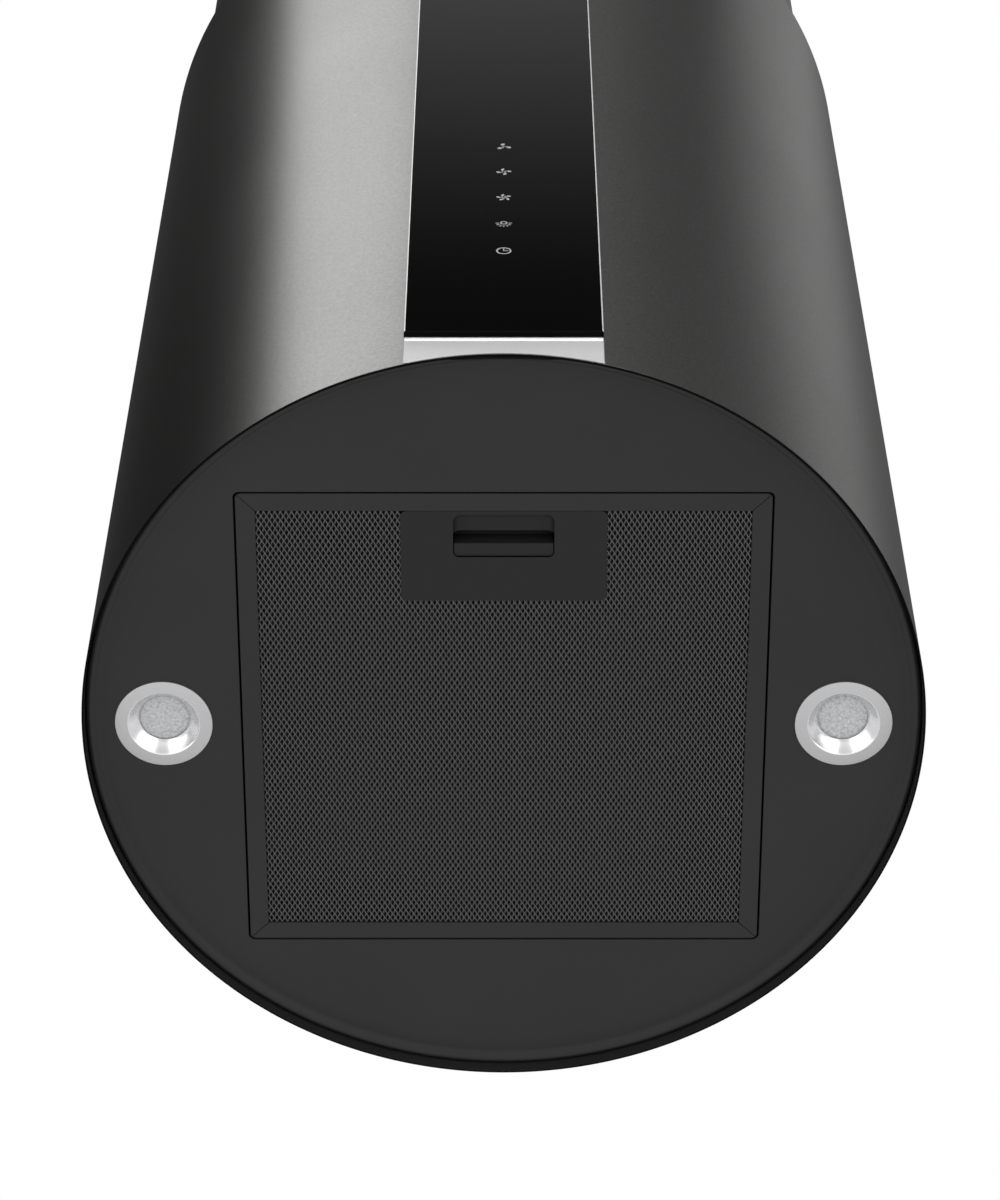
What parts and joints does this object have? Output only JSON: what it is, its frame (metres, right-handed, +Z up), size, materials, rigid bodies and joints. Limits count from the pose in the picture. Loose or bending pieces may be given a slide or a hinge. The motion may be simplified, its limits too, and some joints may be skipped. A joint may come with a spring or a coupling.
{
  "type": "island range hood",
  "caption": "Round ceiling-hung island range hood with a front touch panel, square grease filter, lamps, telescopic posts and a blower with non-return flaps.",
  "frame": {"origin": "centre of the ceiling plate's top face, which is the ceiling plane", "axes": "+Z up, out of the ceiling plate; the touch panel faces -Y; +X is to the right seen from the front"},
  "size_m": [0.4, 0.4, 0.85],
  "materials": {
    "black_steel": "satin, black-tinted",
    "black_paint": "satin powder coat",
    "filter_mesh": "black anodised",
    "filter_wool": "woven",
    "panel_glass": "black-backed, polished",
    "trim_metal": "satin",
    "lamp_metal": "satin",
    "lamp_glass": "textured",
    "led_board": "white solder resist",
    "spring_steel": "bright",
    "galvanised": "spangled zinc",
    "zinc_screw": "zinc-plated",
    "black_plastic": "fine texture",
    "board_green": "solder resist",
    "motor_paint": "satin",
    "impeller_metal": "mill",
    "rubber_bush": "matt",
    "grey_plastic": "smooth"
  },
  "bodies": {
    "ceiling_frame": {"ceiling_plate": "galvanised", "upper_post_front_left": "galvanised", "upper_post_front_right": "galvanised", "upper_post_rear_left": "galvanised", "upper_post_rear_right": "galvanised", "chimney_tube": "black_steel", "ceiling_screws": "zinc_screw", "chimney_screws": "zinc_screw"},
    "hood": {"hood_tube": "black_steel", "base_plate": "black_paint", "control_glass": "panel_glass", "panel_trim": "trim_metal", "panel_carrier": "black_plastic", "touch_board": "board_green", "touch_springs": "spring_steel", "carrier_nuts": "zinc_screw", "lamp_bezel_left": "lamp_metal", "lamp_bezel_right": "lamp_metal", "lamp_lens_left": "lamp_glass", "lamp_lens_right": "lamp_glass", "lamp_led_left": "led_board", "lamp_led_right": "led_board", "lamp_housing_left": "lamp_metal", "lamp_housing_right": "lamp_metal", "lamp_clips_left": "spring_steel", "lamp_clips_right": "spring_steel", "blower_deck": "galvanised", "lower_post_front_left": "galvanised", "lower_post_front_right": "galvanised", "lower_post_rear_left": "galvanised", "lower_post_rear_right": "galvanised", "height_bolts": "zinc_screw", "deck_screws": "zinc_screw", "scroll_wrapper": "galvanised", "scroll_side_left": "galvanised", "scroll_side_right": "galvanised", "inlet_ring_left": "galvanised", "inlet_ring_right": "galvanised", "motor_housing": "motor_paint", "motor_bracket": "galvanised", "motor_bushes": "rubber_bush", "run_capacitor": "grey_plastic", "outlet_collar": "black_plastic", "flap_pins": "zinc_screw", "control_box": "grey_plastic", "control_box_lid": "grey_plastic", "power_board": "board_green", "cable_gland": "black_plastic"},
    "impeller": {"impeller": "impeller_metal", "motor_shaft": "zinc_screw"},
    "front_flap": {"flap_front": "black_plastic"},
    "rear_flap": {"flap_rear": "black_plastic"},
    "grease_filter": {"filter_frame": "black_paint", "filter_mesh_face": "filter_mesh", "filter_mesh_pack": "filter_wool", "filter_mesh_back": "filter_mesh", "filter_tabs": "spring_steel", "handle_plate": "black_plastic", "latch_spring": "spring_steel"},
    "filter_latch": {"latch_slider": "black_plastic"}
  },
  "joints": [
    {"name": "height_slide", "type": "slide", "parent": "ceiling_frame", "child": "hood", "axis": [0, 0, 1], "range_m": [-0.12, 0.08]},
    {"name": "impeller_spin", "type": "hinge", "parent": "hood", "child": "impeller", "pos_m": [0, 0.0525, -0.625], "axis": [1, 0, 0], "continuous": true},
    {"name": "front_flap_hinge", "type": "hinge", "parent": "hood", "child": "front_flap", "pos_m": [0, -0.005, -0.4145], "axis": [-1, 0, 0], "range_deg": [0, 80]},
    {"name": "rear_flap_hinge", "type": "hinge", "parent": "hood", "child": "rear_flap", "pos_m": [0, 0.005, -0.4145], "axis": [1, 0, 0], "range_deg": [0, 80]},
    {"name": "filter_hinge", "type": "hinge", "parent": "hood", "child": "grease_filter", "pos_m": [0, 0.1244, -0.842], "axis": [1, 0, 0], "range_deg": [0, 40]},
    {"name": "latch_slide", "type": "slide", "parent": "grease_filter", "child": "filter_latch", "axis": [0, 1, 0], "range_m": [0, 0.005], "stiffness_N_per_m": 400, "springref_m": -0.005, "deforming": ["latch_spring"]}
  ]
}
